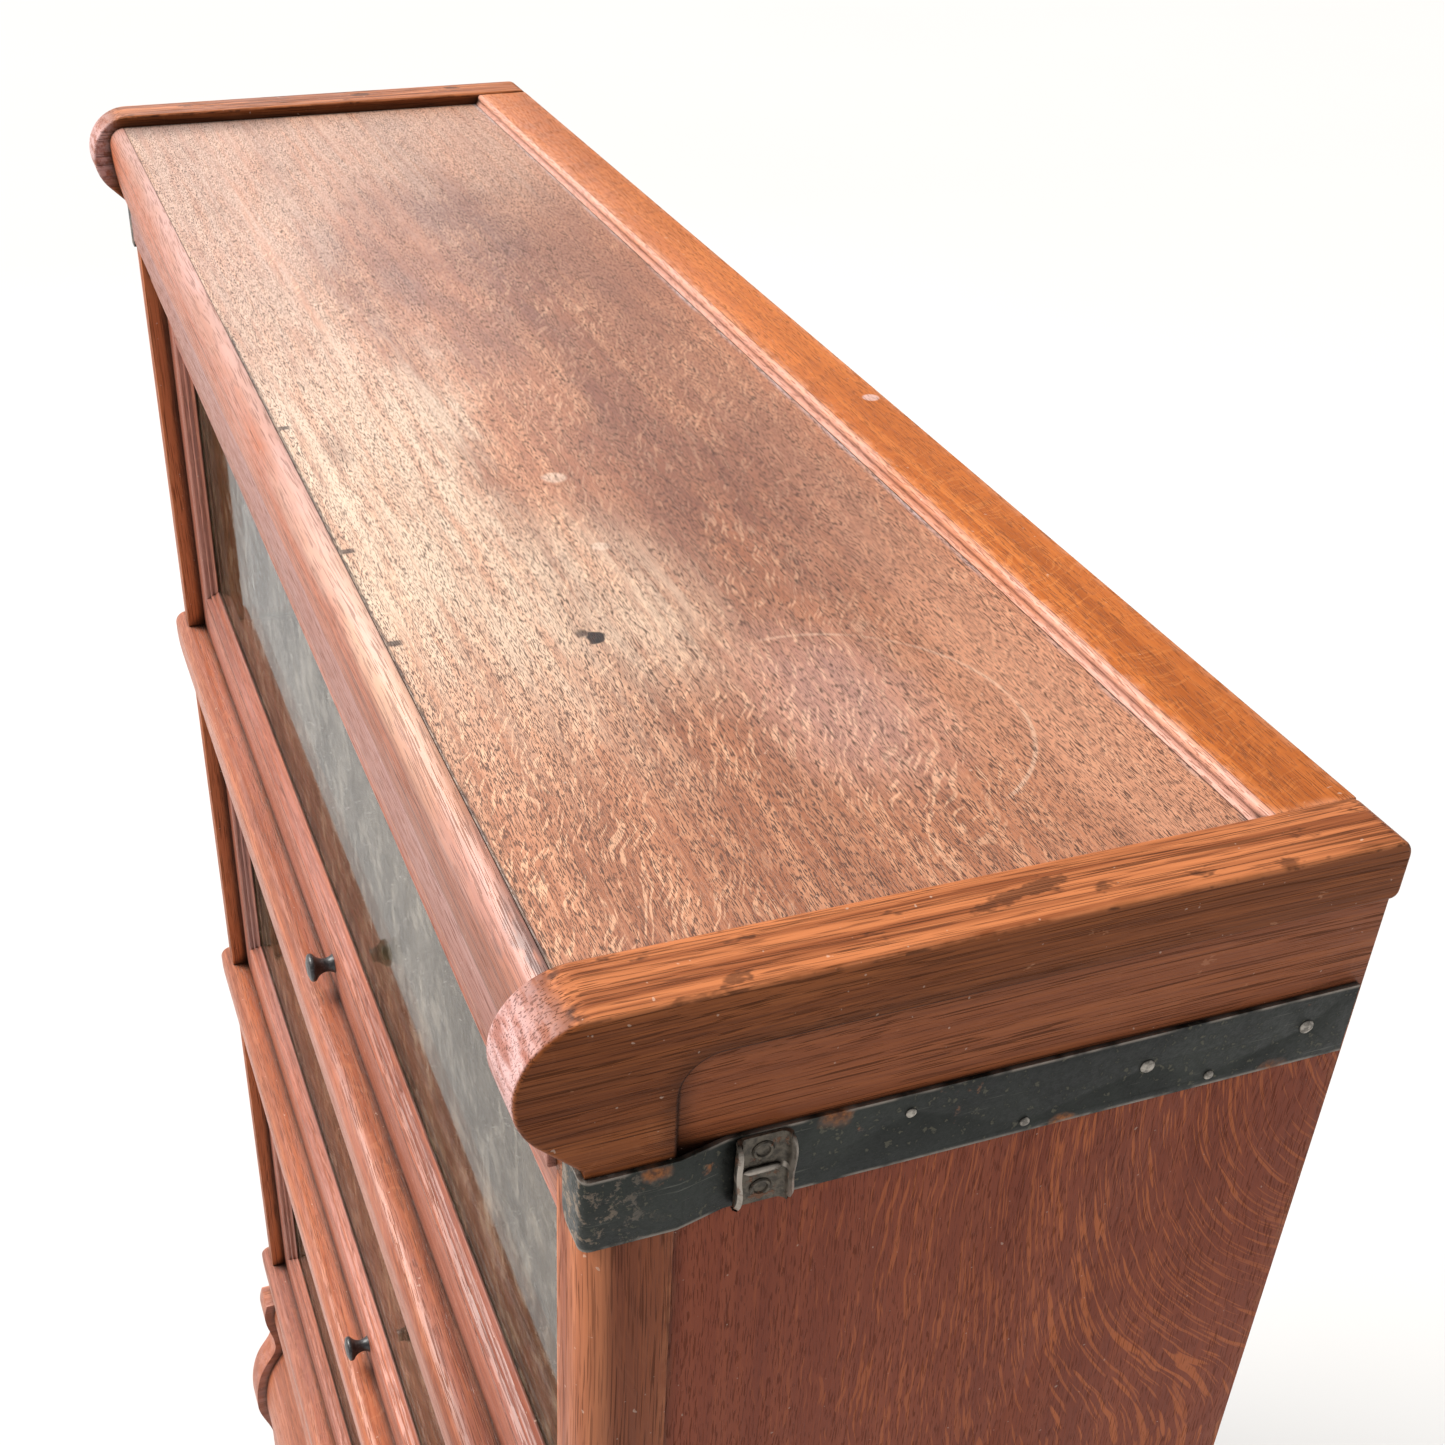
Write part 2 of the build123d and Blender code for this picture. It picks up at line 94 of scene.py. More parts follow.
class Graph:
    """A material whose nodes are added by short calls. A value may be a number, a tuple or a socket."""

    def __init__(self, name):
        self.material = bpy.data.materials.new(name)
        self.material.use_nodes = True
        self.tree = self.material.node_tree
        self.tree.nodes.clear()
        self.place = self.add("ShaderNodeTexCoord").outputs["Object"]

    def add(self, kind, values=None, **settings):
        node = self.tree.nodes.new(kind)
        for key, value in settings.items():
            setattr(node, key, value)
        for key, value in (values or {}).items():
            self.feed(node.inputs[key], value)
        return node

    def feed(self, socket, value):
        if isinstance(value, bpy.types.NodeSocket):
            self.tree.links.new(value, socket)
        else:
            socket.default_value = value

    def math(self, operation, a, b=0.0, c=0.0):
        return self.add("ShaderNodeMath", {0: a, 1: b, 2: c}, operation=operation).outputs[0]

    def chain(self, operation, values):
        total = values[0]
        for value in values[1:]:
            total = self.math(operation, total, value)
        return total

    def times(self, *values):
        return self.chain("MULTIPLY", values)

    def plus(self, *values):
        return self.chain("ADD", values)

    def larger(self, *values):
        return self.chain("MAXIMUM", values)

    def smaller(self, *values):
        return self.chain("MINIMUM", values)

    def minus(self, a, b):
        return self.math("SUBTRACT", a, b)

    def apart(self, a, b):
        return self.math("ABSOLUTE", self.minus(a, b))

    def vector(self, operation, a, b):
        return self.add("ShaderNodeVectorMath", {0: a, 1: b}, operation=operation).outputs[0]

    def length(self, vector):
        return self.add("ShaderNodeVectorMath", {0: vector}, operation="LENGTH").outputs["Value"]

    def turned(self, vector, degrees):
        """A vector turned about Z."""
        return self.add("ShaderNodeVectorRotate", {"Vector": vector, "Angle": math.radians(degrees)},
                        rotation_type="Z_AXIS").outputs[0]

    def split(self, vector):
        return self.add("ShaderNodeSeparateXYZ", {0: vector}).outputs

    def join(self, x, y, z):
        return self.add("ShaderNodeCombineXYZ", {0: x, 1: y, 2: z}).outputs[0]

    def noise(self, vector, scale, detail, rough=0.5, distortion=0.0):
        """Noise from 0 to 1. The scale is per metre: one number, or one for each axis."""
        if not isinstance(scale, tuple):
            scale = (scale, scale, scale)
        node = self.add("ShaderNodeTexNoise", {"Vector": self.vector("MULTIPLY", vector, scale),
                                               "Scale": 1.0, "Detail": detail, "Roughness": rough,
                                               "Distortion": distortion})
        return node.outputs[0]

    def step(self, value, low, high, bottom=0.0, top=1.0):
        """Runs smoothly from bottom to top as value goes from low to high."""
        if low > high:
            low, high, bottom, top = high, low, top, bottom
        return self.add("ShaderNodeMapRange", {"Value": value, "From Min": low, "From Max": high,
                                               "To Min": bottom, "To Max": top},
                        interpolation_type="SMOOTHSTEP").outputs[0]

    def patches(self, vector, scale, detail, rough, *span):
        """Noise put through a step."""
        return self.step(self.noise(vector, scale, detail, rough), *span)

    def swing(self, vector, scale, detail, rough, reach):
        """Noise that swings about 0."""
        return self.times(self.minus(self.noise(vector, scale, detail, rough), 0.5), reach)

    def mix(self, share, a, b):
        """Runs from a to b, each a screen colour or a socket."""
        node = self.add("ShaderNodeMix", data_type="RGBA", blend_type="MIX")
        self.feed(node.inputs[0], share)
        for index, value in ((6, a), (7, b)):
            self.feed(node.inputs[index], srgb(*value) if isinstance(value, tuple) else value)
        return node.outputs[2]

    def coat(self, colour, paint, *masks):
        """A colour with paint over it, as far as the masks' product says."""
        return self.mix(self.times(*masks), colour, paint)

    def spot(self, centre, radius, soft, stretch=(1, 1, 1), ragged=0.0):
        """1 inside a rounded patch, 0 outside it."""
        away = self.vector("MULTIPLY", self.vector("SUBTRACT", self.place, centre), stretch)
        reach = self.length(away)
        if ragged:
            reach = self.plus(reach, self.swing(self.place, 90, 3, 0.5, ragged))
        return self.step(reach, radius + soft, radius)

    def near_edge(self, low, high, width):
        """1 on the edges of the box between two corners, 0 a little inside its faces."""
        to_low = self.split(self.vector("SUBTRACT", self.place, low))
        to_high = self.split(self.vector("SUBTRACT", high, self.place))
        gaps = [self.smaller(to_low[i], to_high[i]) for i in range(3)]
        middle = self.minus(self.minus(self.plus(*gaps), self.larger(*gaps)), self.smaller(*gaps))
        return self.step(middle, width, 0.0)

    def grime_and_shade(self, reach):
        """1 in the corners where pieces meet, from ambient occlusion: a mask for dirt and for painted shade.
        """
        open_sky = self.add("ShaderNodeAmbientOcclusion", {"Distance": reach}, samples=8).outputs["AO"]
        return self.step(open_sky, 0.86, 0.35)

    def finish(self, colour, roughness, height=None, depth=0.0004, strength=0.5, **fixed):
        shader = self.add("ShaderNodeBsdfPrincipled", {"Base Color": colour, "Roughness": roughness})
        for key, value in fixed.items():
            self.feed(shader.inputs[key.replace("_", " ")], value)
        if height is not None:
            bump = self.add("ShaderNodeBump", {"Strength": strength, "Distance": depth, "Height": height})
            self.feed(shader.inputs["Normal"], bump.outputs[0])
        out = self.add("ShaderNodeOutputMaterial")
        self.tree.links.new(shader.outputs[0], out.inputs["Surface"])
        return self.material


# ---------------------------------------------------------------- oak

# Colours of the wood, shares of each kind of mark, and the scales of its pores (dash) per metre.
OAK = {
    "dark": (108, 58, 38), "mid": (160, 96, 68), "light": (188, 122, 88), "worn": (200, 134, 90),
    "fleck": (196, 132, 92), "flecks": 0.35, "pores": 0.6, "edge": 0.5, "edge_width": 0.004,
    "rough": 0.46, "grime_and_shade": 0.85, "turn": 14.0, "stain": 0.3, "shine": 0.35,
    "open": 0.56, "dash": (190, 1700), "bands": 0.8, "haze_and_sheen": 0.0,
}
TONES = {
    "oak_faded_top": dict(dark=(118, 68, 48), mid=(182, 120, 88), light=(216, 158, 122),
                          worn=(205, 165, 130), fleck=(236, 186, 150), flecks=0.6, pores=0.85, rough=0.44,
                          edge=0.2, turn=20.0, shine=0.5, open=0.524, dash=(330, 3000), bands=0.55,
                          stain=0.2),
    "oak_side": dict(dark=(118, 54, 36), mid=(142, 70, 46), light=(156, 82, 54), fleck=(190, 104, 58),
                     flecks=0.85, pores=0.45, rough=0.52, edge=0.25, shine=0.2, bands=0.5, stain=0.25,
                     dash=(150, 2300)),
    "oak_post": dict(dark=(106, 52, 32), mid=(140, 74, 42), light=(164, 92, 54), worn=(206, 134, 90),
                     flecks=0.15, edge=0.3, shine=0.2, dash=(34, 1900)),
    "oak_back_board": dict(dark=(146, 74, 28), mid=(196, 108, 46), light=(214, 128, 62),
                           worn=(216, 150, 112), fleck=(216, 134, 70), flecks=0.35, pores=0.5, turn=70.0,
                           rough=0.42, shine=0.25, dash=(160, 2300)),
    "oak_top_end": dict(dark=(92, 44, 20), mid=(138, 76, 38), light=(168, 98, 52), worn=(204, 126, 82),
                        flecks=0.1, edge=0.9, edge_width=0.0016, shine=0.12, pores=0.62, dash=(16, 1900)),
    "oak_inside": dict(dark=(90, 78, 60), mid=(126, 112, 90), light=(152, 138, 114),
                       fleck=(186, 174, 150), flecks=0.3, rough=0.7, edge=0.1, shine=0.2, pores=0.4),
    "oak_door": dict(dark=(106, 50, 32), mid=(158, 82, 52), light=(182, 104, 70), worn=(206, 136, 106),
                     flecks=0.15, rough=0.40, edge=0.4, edge_width=0.0022, shine=0.5, dash=(60, 2100),
                     pores=0.45, haze_and_sheen=0.25),
    "oak_rail": dict(dark=(106, 52, 32), mid=(158, 86, 54), light=(184, 112, 76), worn=(206, 140, 110),
                     flecks=0.2, rough=0.40, edge=0.3, shine=0.45, dash=(60, 2200), pores=0.45, haze_and_sheen=0.25),
}
BACK_TONE = dict(dark=(92, 66, 46), mid=(140, 106, 78), light=(162, 128, 98), fleck=(176, 142, 110))


def slanted_flecks(g, lay, board, turn):
    """Ray flecks that lie at a slant to the grain, in patches of wavy dashes."""
    slant = g.turned(lay, turn)
    bend = g.swing(board, (26, 30, 30), 2, 0.5, 0.024)
    x, y, z = g.split(slant)
    slant = g.join(x, g.plus(y, bend), z)
    patch = g.patches(board, (5, 14, 14), 2, 0.5, 0.36, 0.62)
    return g.times(g.patches(slant, (80, 760, 80), 1, 0.5, 0.56, 0.66), patch)


def side_flecks(g, seed, high):
    """Ray flecks of a side panel: fine upright lines that lean over and thicken towards the top rear."""
    _, y, z = g.split(g.place)
    lean = g.times(g.step(y, -0.01, 0.135, 0.0, 2.4), g.step(z, high.z - 0.19, high.z + 0.01, 0.0, 0.085))
    wander = g.swing(g.place, (9, 9, 16), 2, 0.5, 0.016)
    shiver = g.swing(g.place, (60, 60, 90), 1, 0.5, 0.0022)
    flow = g.plus(g.plus(y, lean), g.plus(wander, shiver))
    fine = g.patches(g.join(g.times(z, 48), g.times(flow, 640), seed * 3.7), 1, 1, 0.4, 0.585, 0.655)
    fine = g.times(fine, g.step(y, -0.070, 0.005, 0.08, 0.72))
    thick = g.patches(g.join(g.times(z, 36), g.times(flow, 260), seed * 5.3), 1, 1, 0.4, 0.622, 0.664)
    thick = g.times(thick, g.step(y, 0.0, 0.050))
    return g.larger(fine, thick)


def oak(name, slot, grain, seed, low, high, extra=None, **changes):
    """Fumed quarter-sawn oak: growth bands, fibres, open pores, ray flecks, worn edges, a haze that is
    partly a painted sheen, and dirt with painted shade in the corners.
    """
    tone = {**OAK, **TONES.get(slot, {}), **changes}
    g = Graph(name)
    axes = dict(zip("XYZ", g.split(g.place)))
    board = g.join(*(axes[letter] for letter in GRAIN[grain]))
    board = g.vector("ADD", board, (seed * 1.731 % 7, seed * 0.913 % 5, seed * 0.577 % 3))
    sway = g.swing(board, (2.2, 7, 7), 2, 0.5, 0.022)
    along, across, through = g.split(board)
    lay = g.join(along, g.plus(across, sway), g.plus(through, sway))
    bands = g.noise(lay, (1.1, 42, 42), 3, 0.55)
    rings = g.noise(lay, (3.0, 240, 240), 2, 0.6)
    fibres = g.noise(lay, (34, 1150, 1150), 2, 0.6)
    pore_along, pore_across = tone["dash"]
    pores = g.patches(lay, (pore_along, pore_across, pore_across), 1, 0.5, tone["open"], tone["open"] + 0.07)
    pores = g.times(pores, g.step(rings, 0.24, 0.56, 0.3, 1.0))
    cloud = g.noise(board, (5, 9, 9), 3, 0.55)

    colour = g.mix(g.step(bands, 0.32, 0.68, 1.0 - tone["bands"], 1.0), tone["dark"], tone["mid"])
    colour = g.coat(colour, tone["light"], g.step(rings, 0.42, 0.72), 0.55)
    colour = g.coat(colour, tone["light"], g.step(fibres, 0.50, 0.72), 0.40)
    colour = g.coat(colour, tone["dark"], g.step(fibres, 0.46, 0.28), 0.30)
    if slot == "oak_side":
        flecks = side_flecks(g, seed, high)
    else:
        flecks = slanted_flecks(g, lay, board, tone["turn"])
    colour = g.coat(colour, tone["fleck"], flecks, tone["flecks"])
    colour = g.coat(colour, tone["dark"], g.step(cloud, 0.40, 0.70), tone["stain"])
    if tone["haze_and_sheen"]:
        # pinkish haze along the grain: a dusty bloom with a painted sheen standing in for glare
        film = g.patches(board, (5, 90, 90), 4, 0.6, 0.40, 0.68)
        colour = g.coat(colour, (196, 146, 138), film, tone["haze_and_sheen"])
    if extra:
        colour = extra(g, colour, board)
    chips = g.patches(board, 120, 3, 0.5, 0.35, 0.62)
    colour = g.coat(colour, tone["worn"], g.near_edge(low, high, tone["edge_width"]), chips, tone["edge"])
    colour = g.coat(colour, tuple(v * 0.55 for v in tone["dark"]), pores, tone["pores"])
    # dirt and painted shade in the corners where pieces meet
    colour = g.coat(colour, (30, 20, 15), g.grime_and_shade(0.010), tone["grime_and_shade"])
    colour = g.coat(colour, (214, 190, 172), g.patches(g.place, 420, 1, 0.5, 0.76, 0.80), 0.4)

    height = g.plus(g.times(fibres, 0.35), g.times(rings, 0.25))
    height = g.minus(height, g.times(pores, 0.9))
    rough = g.plus(g.times(g.minus(fibres, 0.5), 0.25), g.times(g.minus(cloud, 0.5), 0.25))
    rough = g.plus(rough, g.plus(g.times(pores, 0.25), tone["rough"]))
    return g.finish(colour, rough, height, 0.0005, 0.5, Specular_IOR_Level=tone["shine"])


def inside_marks(g, colour, board):
    """Pale streaks, damp patches and specks in the dust on a shelf."""
    colour = g.coat(colour, (200, 190, 170), g.patches(board, (26, 95, 95), 3, 0.6, 0.56, 0.68), 0.45)
    colour = g.coat(colour, (92, 80, 62), g.patches(board, (9, 16, 16), 3, 0.6, 0.50, 0.66), 0.4)
    return g.coat(colour, (222, 218, 206), g.patches(g.place, 210, 2, 0.6, 0.64, 0.72), 0.7)


def top_panel_marks(g, colour, board):
    """Sun-bleached front and left, red stains, a dark hole, a dent, pale rings and a curved scratch."""
    x, y, _ = g.split(g.place)
    drift = g.swing(board, (7, 26, 26), 5, 0.68, 0.15)
    y_drift = g.plus(y, drift)
    front = g.times(g.step(y_drift, -0.018, -0.062), g.step(g.plus(x, drift), 0.36, 0.20))
    left = g.step(g.plus(x, g.times(drift, 2.2)), -0.12, -0.30)
    patch = g.spot((0.215, -0.030, PANEL_TOP), 0.020, 0.055, (0.75, 1.3, 1))
    bleached = g.larger(front, g.times(left, 0.85), g.times(patch, 0.8))
    streaks = g.patches(board, (14, 240, 240), 3, 0.6, 0.30, 0.62, 0.35, 1.0)
    pale = g.mix(g.step(x, -0.16, 0.12), (192, 162, 144), (226, 204, 180))
    colour = g.coat(colour, pale, bleached, streaks, 0.72)
    corner = g.times(g.step(x, -0.372, -0.404), g.step(y_drift, 0.015, -0.03))
    colour = g.coat(colour, (104, 88, 84), corner, 0.6)
    stain = g.larger(g.spot((-0.120, 0.036, PANEL_TOP), 0.050, 0.060, (0.55, 1, 1), 0.03),
                     g.spot((0.130, 0.045, PANEL_TOP), 0.030, 0.060, (0.45, 1, 1), 0.03))
    mottle = g.patches(board, (12, 40, 40), 4, 0.65, 0.32, 0.62, 0.3, 1.0)
    colour = g.coat(colour, (114, 72, 64), stain, mottle, 0.60)
    back = g.times(g.step(y_drift, 0.040, 0.085), g.step(x, 0.10, 0.34, 0.35, 1.0))
    colour = g.coat(colour, (226, 164, 130), back, 0.55)
    haze_and_sheen = g.spot((0.305, 0.018, PANEL_TOP), 0.010, 0.040, (0.7, 1.2, 1), 0.02)
    colour = g.coat(colour, (214, 186, 186), haze_and_sheen, 0.22)
    for centre, size in (((0.122, -0.016), 0.0036), ((0.182, -0.018), 0.0022)):
        drop = g.spot((*centre, PANEL_TOP), size, 0.002, ragged=0.003)
        colour = g.coat(colour, (222, 196, 176), drop, 0.6)
    dent = g.spot((0.073, -0.090, PANEL_TOP), 0.003, 0.008, (0.45, 1.4, 1), 0.007)
    colour = g.coat(colour, (104, 70, 54), dent, 0.35)
    tail = g.spot((0.2405, -0.0445, PANEL_TOP), 0.0008, 0.0012, (0.5, 0.6, 1), 0.004)
    hole = g.spot((0.244, -0.041, PANEL_TOP), 0.0031, 0.0010, (0.8, 0.95, 1), 0.009)
    colour = g.coat(colour, (38, 28, 26), g.larger(hole, g.times(tail, 0.8)))
    away = g.length(g.vector("SUBTRACT", g.place, (0.320, 0.014, PANEL_TOP)))
    ring = g.step(g.apart(away, 0.058), 0.0011, 0.0003)
    ring = g.times(ring, g.step(g.plus(y, g.times(g.minus(x, 0.262), -0.35)), 0.0, 0.012))
    colour = g.coat(colour, (222, 186, 160), ring, g.patches(g.place, 60, 2, 0.5, 0.3, 0.6, 0.1, 0.6))
    # an open seam along the front rail, with three short checks
    ragged = g.plus(y, g.swing(board, (160, 10, 10), 2, 0.5, 0.0016))
    seam = g.times(g.step(ragged, SEAM + 0.0014, SEAM + 0.0006), g.step(x, -0.10, -0.05))
    for check in (0.046, 0.159, 0.228):
        short = g.times(g.step(g.apart(x, check), 0.0022, 0.0012), g.step(y, SEAM + 0.007, SEAM + 0.004))
        seam = g.larger(seam, short)
    colour = g.coat(colour, (46, 32, 27), seam, 0.85)
    # wax and dust left along the bead and the right end
    rim = g.larger(g.step(y, BEAD - 0.0030, BEAD - 0.0008), g.step(x, 0.4055, 0.4078))
    rim = g.times(rim, g.patches(board, (30, 60, 60), 3, 0.5, 0.35, 0.65))
    return g.coat(colour, (206, 196, 200), rim, 0.75)


def front_rail_marks(g, colour, board):
    """Bleached, dusty roll on top with a painted sheen, orange wood with dark lines below it, a painted
    shade line in the quirk, and a mauve strip under it that is partly a painted highlight.
    """
    x, _, z = g.split(g.place)
    wave = g.swing(board, (7, 22, 22), 4, 0.65, 0.022)
    roll = g.step(g.plus(z, wave), PANEL_TOP - 0.014, PANEL_TOP - 0.004)
    fading = g.mix(g.step(g.plus(x, g.times(wave, 9)), 0.02, 0.26), (178, 132, 116), (222, 186, 160))
    near = g.step(g.plus(x, g.times(wave, 4)), 0.40, 0.19, 0.10, 1.0)
    colour = g.coat(colour, fading, g.times(roll, near), 0.70)
    # pinkish haze on the roll: a dusty bloom with a painted sheen
    haze_and_sheen = g.patches(board, (11, 60, 60), 4, 0.6, 0.40, 0.64)
    colour = g.coat(colour, (198, 152, 146), haze_and_sheen, g.step(z, QUIRK + 0.012, QUIRK + 0.030), 0.35)
    lines = g.patches(board, (9, 900, 900), 2, 0.5, 0.52, 0.60)
    steep = g.times(g.step(z, QUIRK, QUIRK + 0.004),
                    g.step(g.plus(z, wave), PANEL_TOP - 0.002, PANEL_TOP - 0.014))
    ember = g.mix(g.step(x, 0.12, 0.34), (188, 98, 52), (152, 80, 44))
    colour = g.coat(colour, ember, steep, 0.80)
    colour = g.coat(colour, (84, 38, 20), lines, steep, 0.7)
    # the strip under the quirk: mauve wood, partly painted as a highlight line
    strip = g.step(z, QUIRK + 0.0005, QUIRK - 0.0015)
    mauve_and_highlight = g.mix(g.step(z, QUIRK - 0.016, QUIRK - 0.004), (150, 82, 62), (164, 110, 102))
    colour = g.coat(colour, mauve_and_highlight, strip, 0.75)
    # painted shade: a dark line in the quirk groove
    shadow_line = g.step(g.apart(z, QUIRK + 0.0004), 0.0016, 0.0005)
    colour = g.coat(colour, (74, 36, 24), shadow_line, 0.7)
    stains = g.times(g.step(x, 0.34, 0.40), g.patches(board, (30, 110, 110), 3, 0.6, 0.52, 0.60))
    stains = g.times(stains, g.step(z, PANEL_TOP - 0.022, PANEL_TOP - 0.006))
    return g.coat(colour, (96, 84, 84), stains, 0.65)


def top_end_marks(g, colour, board):
    """Top face worn back to bright orange wood, dark nicks along its edges, a painted shadow along the step
    of the recessed face, and a rubbed nose with a painted highlight.
    """
    x, y, z = g.split(g.place)
    ragged = g.swing(board, (30, 160, 160), 3, 0.5, 0.0012)
    worn = g.step(g.plus(z, ragged), TOP - 0.0018, TOP - 0.0009)
    bright = g.mix(g.patches(board, (9, 330, 330), 3, 0.6, 0.34, 0.64), (128, 70, 40), (190, 116, 72))
    bright = g.coat(bright, (84, 42, 24), g.patches(board, (40, 900, 900), 2, 0.5, 0.58, 0.66), 0.6)
    bright = g.coat(bright, (66, 38, 26), g.patches(board, (44, 90, 90), 4, 0.65, 0.60, 0.66), 0.7)
    nicks = g.times(g.step(z, TOP - 0.0026, TOP - 0.0010), g.step(z, TOP - 0.0001, TOP - 0.0010))
    nicks = g.times(nicks, g.patches(board, 90, 3, 0.6, 0.56, 0.62))
    bright = g.coat(bright, (44, 28, 22), nicks, 0.8)
    colour = g.coat(colour, bright, worn, 0.92)
    face = g.step(z, TOP - 0.0016, TOP - 0.0030)
    long_lines = g.patches(board, (5, 1100, 1100), 3, 0.6, 0.48, 0.60)
    colour = g.coat(colour, (72, 34, 14), long_lines, face, 0.38)
    rubs = g.patches(g.place, (150, 70, 150), 4, 0.7, 0.68, 0.72)
    colour = g.coat(colour, (196, 140, 104), rubs, face, 0.45)
    # round the recessed face: a lighter tone on the face itself, and a painted shadow along the step that
    # fades towards the back
    inside_y = g.larger(g.minus(STEP_TURN, g.minus(y, STEP_Y)), 0.0)
    inside_z = g.larger(g.minus(STEP_TURN, g.minus(STEP_Z, z)), 0.0)
    inside = g.math("SQRT", g.plus(g.times(inside_y, inside_y), g.times(inside_z, inside_z)))
    gap = g.minus(STEP_TURN, inside)
    colour = g.coat(colour, (158, 90, 60), g.times(g.step(gap, 0.0, 0.002), face), 0.40)
    off_step = g.math("ABSOLUTE", gap)
    shadow_line = g.larger(g.step(off_step, 0.0022, 0.0006), g.times(g.step(off_step, 0.0080, 0.0), 0.45))
    shadow_line = g.times(shadow_line, g.step(y, 0.11, -0.03, 0.25, 1.0))
    colour = g.coat(colour, (34, 18, 12), shadow_line, 0.88)
    # the rounded nose: rubbed, with a pinkish painted highlight standing in for glare
    nose = g.times(g.step(y, cad_low.y + 0.030, cad_low.y + 0.012), g.step(z, TOP - 0.046, TOP - 0.026))
    rubbed_and_highlight = g.mix(g.patches(g.place, (60, 260, 260), 3, 0.6, 0.35, 0.62), (172, 118, 108), (222, 184, 182))
    round_edge = g.step(g.math("ABSOLUTE", x), 0.4316, 0.4306)
    return g.coat(colour, rubbed_and_highlight, g.times(nose, round_edge), 0.75)


def back_board_marks(g, colour, board):
    """Flame-like cross flecks and one pale spot."""
    flame = g.step(g.noise(g.turned(board, 68), (30, 120, 120), 2, 0.5, 0.6), 0.52, 0.62)
    flame = g.times(flame, g.patches(board, (4, 6, 6), 1, 0.5, 0.42, 0.60))
    colour = g.coat(colour, (128, 66, 32), flame, 0.22)
    return g.coat(colour, (216, 180, 170), g.spot((0.096, 0.130, TOP), 0.0030, 0.0012), 0.8)


def bead_marks(g, colour, board):
    """Mauve bloom of old wax along the crest of the bead, with a painted highlight."""
    return g.coat(colour, (212, 164, 150), g.patches(board, (8, 60, 60), 3, 0.6, 0.30, 0.60, 0.4, 1.0), 0.75)


def post_marks(g, colour, board):
    """The rounded front corner is rubbed to orange; the flat behind it stays dark. The inner cheek is rubbed
    orange with a painted glancing reflection.
    """
    x, y, _ = g.split(g.place)
    across = g.math("ABSOLUTE", x)
    front = g.step(g.plus(y, g.times(g.noise(board, (5, 60, 60), 2), 0.004)),
                   cad_low.y + 0.042, cad_low.y + 0.038)
    rubbed_and_highlight = g.times(front, g.patches(board, (6, 160, 160), 3, 0.5, 0.30, 0.60, 0.35, 1.0))
    rubbed_and_highlight = g.times(rubbed_and_highlight, g.step(across, 0.414, 0.424))
    colour = g.coat(colour, (196, 122, 82), rubbed_and_highlight, 0.85)
    # the inner cheek facing the door: rubbed orange plus a painted glancing reflection
    cheek = g.times(front, g.step(across, 0.4100, 0.4084))
    return g.coat(colour, (206, 118, 72), cheek, 0.62)


MARKS = {"top_panel": top_panel_marks, "top_end_left": top_end_marks, "top_end_right": top_end_marks,
         "top_back_board": back_board_marks, "top_front_rail": front_rail_marks, "top_bead": bead_marks}


# ---------------------------------------------------------------- metal and glass

# Rust on the right top band: millimetres from mid-depth and from the joint, radius, and upright squeeze.
RUST_SPOTS = ((-34, 20, 2.2, 0.8), (39, -7, 1.6, 1.2), (110, -6.5, 1.6, 1.2), (-88, 17.5, 1.2, 1.3))
BAND_FACE = 0.4335          # outer face of the right bands
BAR_LIFT = 0.3 * MM         # the bar of a clip sits this far above its middle


def blackened_steel(name, spans):
    """Black paint over steel: grey haze, worn rims, rust marks, and corroded ends round the corners."""
    g = Graph(name)
    cloud = g.noise(g.place, 22, 4, 0.6)
    fine = g.noise(g.place, 420, 3, 0.6)
    colour = g.mix(g.step(cloud, 0.35, 0.66), (27, 30, 28), (44, 48, 44))
    colour = g.coat(colour, (112, 108, 92), g.step(fine, 0.60, 0.70), 0.5)
    colour = g.coat(colour, (22, 23, 22), g.step(fine, 0.42, 0.30), 0.7)
    colour = g.coat(colour, (104, 104, 96), g.patches(g.place, (200, 26, 900), 2, 0.6, 0.66, 0.72), 0.5)
    _, y, z = g.split(g.place)
    ends = g.step(g.plus(y, g.times(cloud, 0.02)), -0.070, -0.098)
    scab = g.noise(g.place, 260, 4, 0.7)
    turned = g.step(y, -0.1085, -0.1105, 0.0, 0.10)
    crust = g.times(g.step(g.plus(scab, turned), 0.53, 0.64), g.times(ends, 0.75))
    colour = g.coat(colour, g.mix(fine, (96, 78, 60), (150, 128, 104)), crust)
    rust = g.times(g.patches(g.place, 60, 5, 0.65, 0.65, 0.72), 0.7)
    for depth, rise, radius, squeeze in RUST_SPOTS:
        centre = (BAND_FACE, depth * MM, TOP_JOINT + rise * MM - 0.002)
        rust = g.larger(rust, g.spot(centre, radius * MM, 0.0035, (0.5, 0.8, squeeze), 0.009))
    ochre = g.mix(g.step(fine, 0.35, 0.65), (96, 56, 30), (176, 108, 56))
    colour = g.coat(colour, ochre, rust, 0.9)
    rim = 0.0
    for edge in (edge for span in spans for edge in span):
        rim = g.larger(rim, g.step(g.apart(z, edge), 0.0013, 0.0003))
    rim = g.times(rim, g.patches(g.place, 70, 3, 0.5, 0.35, 0.55))
    colour = g.coat(colour, (146, 136, 126), rim, 0.8)
    # dirt and painted shade in the corners where pieces meet
    colour = g.coat(colour, (18, 16, 14), g.grime_and_shade(0.006), 0.5)
    rough = g.plus(g.times(rust, 0.3), g.step(fine, 0.2, 0.8, 0.36, 0.62))
    height = g.plus(g.plus(g.times(fine, 0.6), g.times(rust, 0.6)), g.times(crust, 0.8))
    metal = g.step(g.plus(rust, crust), 0.3, 0.0, 0.1, 0.6)
    return g.finish(colour, rough, height, 0.0005, 0.6, Metallic=metal)


